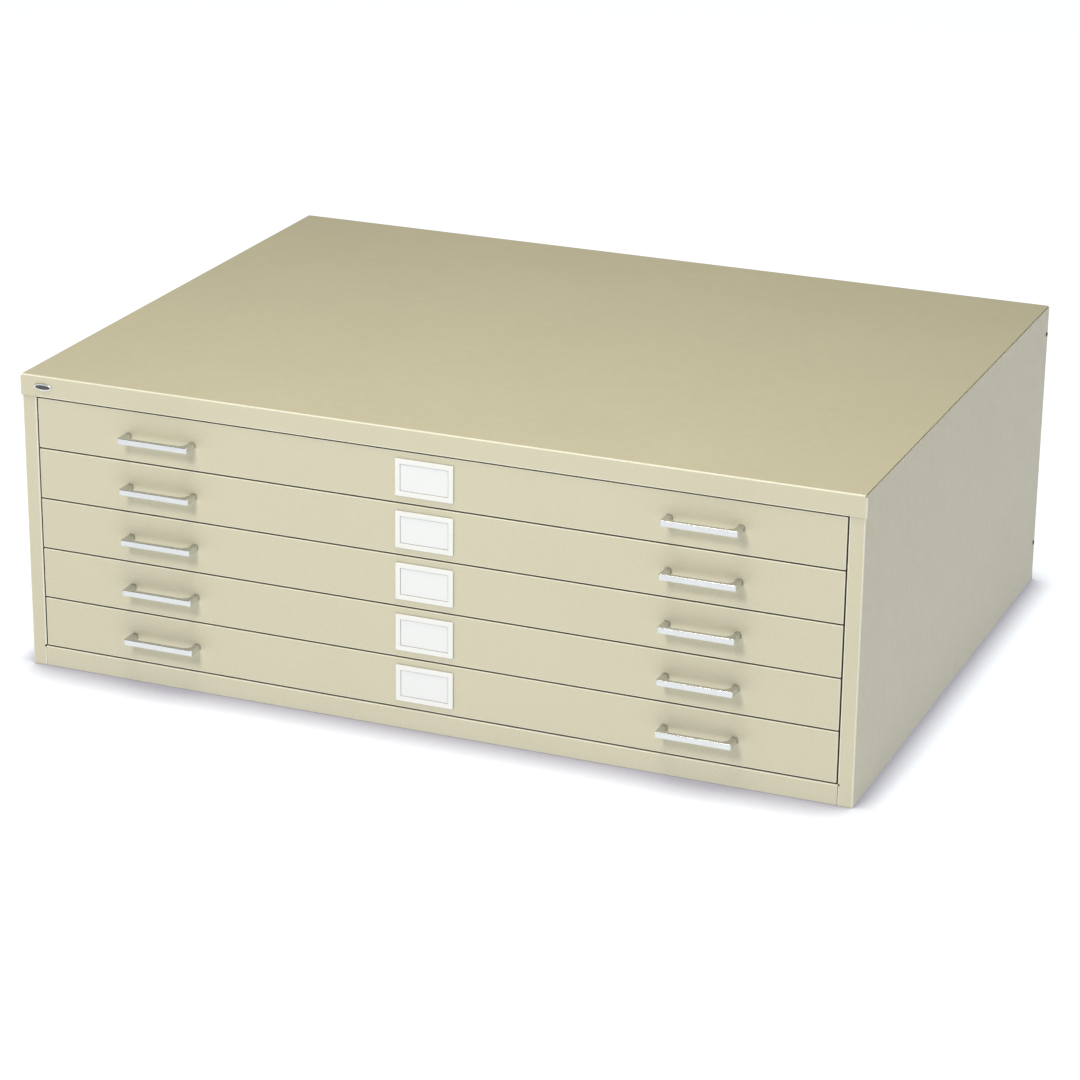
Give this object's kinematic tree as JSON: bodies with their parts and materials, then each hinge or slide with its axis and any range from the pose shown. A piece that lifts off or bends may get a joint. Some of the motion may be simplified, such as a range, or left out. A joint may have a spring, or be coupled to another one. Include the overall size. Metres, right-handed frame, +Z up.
{
  "type": "flat file cabinet",
  "caption": "Low steel flat file cabinet with wide shallow drawers on roller runners, bow handles, label holders, rear hoods and hinged front depressors.",
  "frame": {"origin": "on the floor, under the middle of the whole cabinet's box, handles included", "axes": "+X to the right seen from the front, +Y from the drawer fronts to the back, +Z up"},
  "size_m": [1.182, 0.8986, 0.4191],
  "materials": {
    "sand_paint": "satin",
    "zinc_steel": "satin",
    "bright_metal": "polished",
    "label_plastic": "gloss",
    "black_screw": "satin",
    "badge_plate": "satin"
  },
  "bodies": {
    "cabinet": {"top_cap": "sand_paint", "side_panel_left": "sand_paint", "side_panel_right": "sand_paint", "back_panel": "sand_paint", "bottom_rail": "sand_paint", "bottom_pan": "sand_paint", "runner_frame_left": "zinc_steel", "runner_frame_right": "zinc_steel", "lower_side_screw_left": "black_screw", "lower_side_screw_right": "black_screw", "upper_side_screw_left": "black_screw", "upper_side_screw_right": "black_screw", "badge": "badge_plate"},
    "drawer_1": {"drawer_1_front": "sand_paint", "drawer_1_tray": "sand_paint", "drawer_1_hood": "sand_paint", "drawer_1_label_holder": "label_plastic", "drawer_1_slide_left": "zinc_steel", "drawer_1_slide_right": "zinc_steel", "drawer_1_handle_left": "bright_metal", "drawer_1_handle_right": "bright_metal"},
    "depressor_1": {"drawer_1_depressor": "sand_paint"},
    "drawer_2": {"drawer_2_front": "sand_paint", "drawer_2_tray": "sand_paint", "drawer_2_hood": "sand_paint", "drawer_2_label_holder": "label_plastic", "drawer_2_slide_left": "zinc_steel", "drawer_2_slide_right": "zinc_steel", "drawer_2_handle_left": "bright_metal", "drawer_2_handle_right": "bright_metal"},
    "depressor_2": {"drawer_2_depressor": "sand_paint"},
    "drawer_3": {"drawer_3_front": "sand_paint", "drawer_3_tray": "sand_paint", "drawer_3_hood": "sand_paint", "drawer_3_label_holder": "label_plastic", "drawer_3_slide_left": "zinc_steel", "drawer_3_slide_right": "zinc_steel", "drawer_3_handle_left": "bright_metal", "drawer_3_handle_right": "bright_metal"},
    "depressor_3": {"drawer_3_depressor": "sand_paint"},
    "drawer_4": {"drawer_4_front": "sand_paint", "drawer_4_tray": "sand_paint", "drawer_4_hood": "sand_paint", "drawer_4_label_holder": "label_plastic", "drawer_4_slide_left": "zinc_steel", "drawer_4_slide_right": "zinc_steel", "drawer_4_handle_left": "bright_metal", "drawer_4_handle_right": "bright_metal"},
    "depressor_4": {"drawer_4_depressor": "sand_paint"},
    "drawer_5": {"drawer_5_front": "sand_paint", "drawer_5_tray": "sand_paint", "drawer_5_hood": "sand_paint", "drawer_5_label_holder": "label_plastic", "drawer_5_slide_left": "zinc_steel", "drawer_5_slide_right": "zinc_steel", "drawer_5_handle_left": "bright_metal", "drawer_5_handle_right": "bright_metal"},
    "depressor_5": {"drawer_5_depressor": "sand_paint"}
  },
  "joints": [
    {"name": "drawer_1_pull", "type": "slide", "parent": "cabinet", "child": "drawer_1", "axis": [0, -1, 0], "range_m": [0, 0.65]},
    {"name": "depressor_1_lift", "type": "hinge", "parent": "drawer_1", "child": "depressor_1", "pos_m": [0, -0.39995, 0.36734], "axis": [1, 0, 0], "range_deg": [0, 42]},
    {"name": "drawer_2_pull", "type": "slide", "parent": "cabinet", "child": "drawer_2", "axis": [0, -1, 0], "range_m": [0, 0.65]},
    {"name": "depressor_2_lift", "type": "hinge", "parent": "drawer_2", "child": "depressor_2", "pos_m": [0, -0.39995, 0.29573], "axis": [1, 0, 0], "range_deg": [0, 42]},
    {"name": "drawer_3_pull", "type": "slide", "parent": "cabinet", "child": "drawer_3", "axis": [0, -1, 0], "range_m": [0, 0.65]},
    {"name": "depressor_3_lift", "type": "hinge", "parent": "drawer_3", "child": "depressor_3", "pos_m": [0, -0.39995, 0.22412], "axis": [1, 0, 0], "range_deg": [0, 42]},
    {"name": "drawer_4_pull", "type": "slide", "parent": "cabinet", "child": "drawer_4", "axis": [0, -1, 0], "range_m": [0, 0.65]},
    {"name": "depressor_4_lift", "type": "hinge", "parent": "drawer_4", "child": "depressor_4", "pos_m": [0, -0.39995, 0.15251], "axis": [1, 0, 0], "range_deg": [0, 42]},
    {"name": "drawer_5_pull", "type": "slide", "parent": "cabinet", "child": "drawer_5", "axis": [0, -1, 0], "range_m": [0, 0.65]},
    {"name": "depressor_5_lift", "type": "hinge", "parent": "drawer_5", "child": "depressor_5", "pos_m": [0, -0.39995, 0.0809], "axis": [1, 0, 0], "range_deg": [0, 42]}
  ]
}
